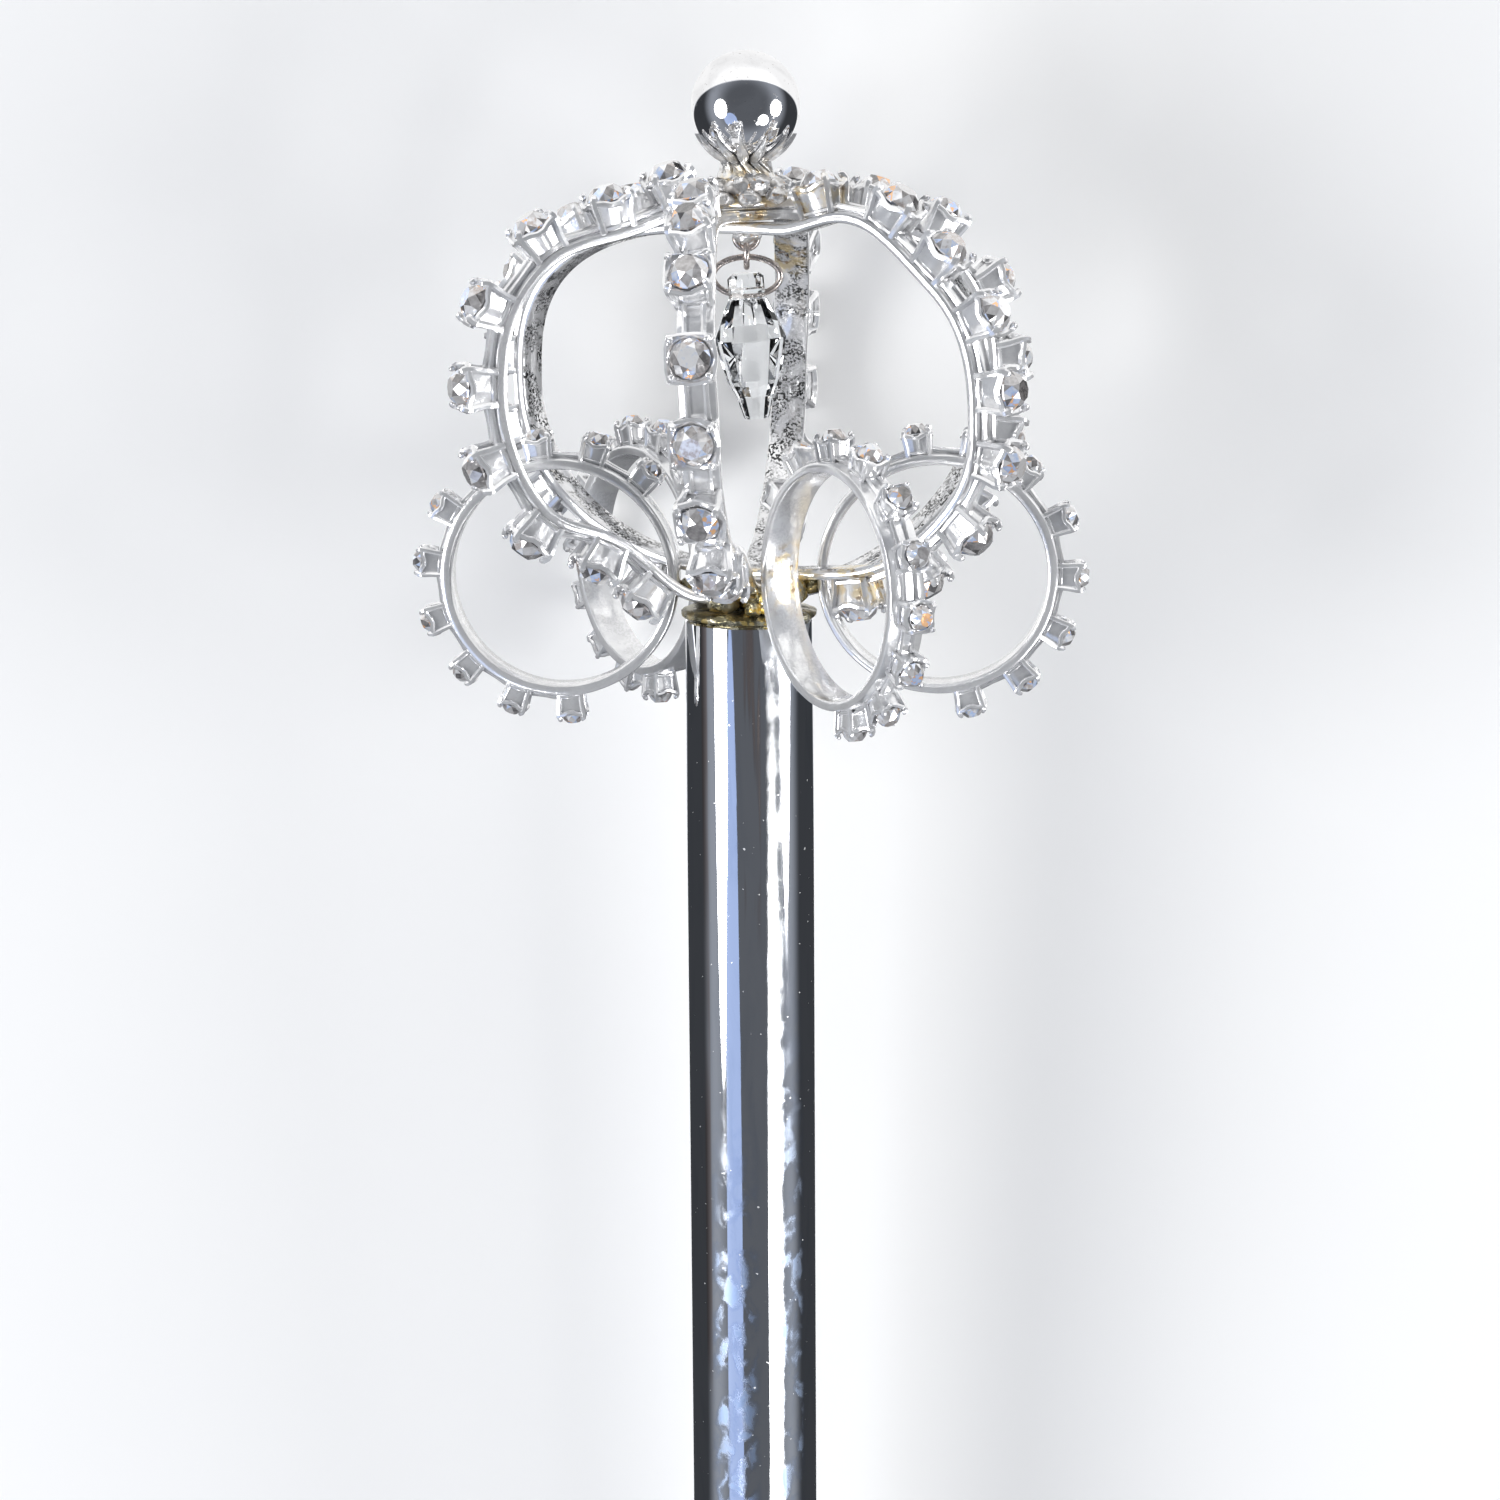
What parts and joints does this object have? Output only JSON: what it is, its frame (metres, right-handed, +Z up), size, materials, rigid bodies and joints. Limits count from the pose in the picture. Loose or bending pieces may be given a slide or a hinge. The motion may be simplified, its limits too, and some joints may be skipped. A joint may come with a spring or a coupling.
{
  "type": "pageant sceptre",
  "caption": "Costume sceptre: plated tube, open cage of crossed stone-set hoops with small rings at its foot, ball finial and hanging glass drop.",
  "frame": {"origin": "centre of the bounding box in plan, on the surface that the sceptre lies on", "axes": "+Y from the capped tail towards the ball on the head; +Z up, the side that faces the viewer; +X to the viewer's right. The shaft leans up towards the head by 3.15 degrees, because the head is wider than the tail."},
  "size_m": [0.0672, 0.4584, 0.0599],
  "materials": {
    "tube_plating": "bright mirror plating with fine specks and faint blue-grey smears",
    "ball_plating": "bright mirror plating, slightly speckled",
    "leaf_cup_plating": "bright plated stamping with darker grooves",
    "stone_strip": "silver plating over soldered strip and cups, speckled and slightly tarnished inside",
    "solder": "soft solder stained olive and amber by flux",
    "wire": "dull nickel wire",
    "cut_stone": "faceted foil-backed glass",
    "clear_glass": "clear pressed and cut glass"
  },
  "bodies": {
    "root": {"shaft_tube": "tube_plating", "end_cap": "tube_plating", "solder_hub": "solder", "hoop_right_left": "stone_strip", "hoop_front_back": "stone_strip", "hoop_left_right": "stone_strip", "ring_front_right": "stone_strip", "ring_right": "stone_strip", "ring_left": "stone_strip", "ring_back_left": "stone_strip", "finial_collar": "stone_strip", "leaf_cup": "leaf_cup_plating", "finial_ball": "ball_plating", "drop_eye": "wire", "drop_link": "wire", "drop_ring": "wire", "glass_drop": "clear_glass"}
  },
  "joints": []
}
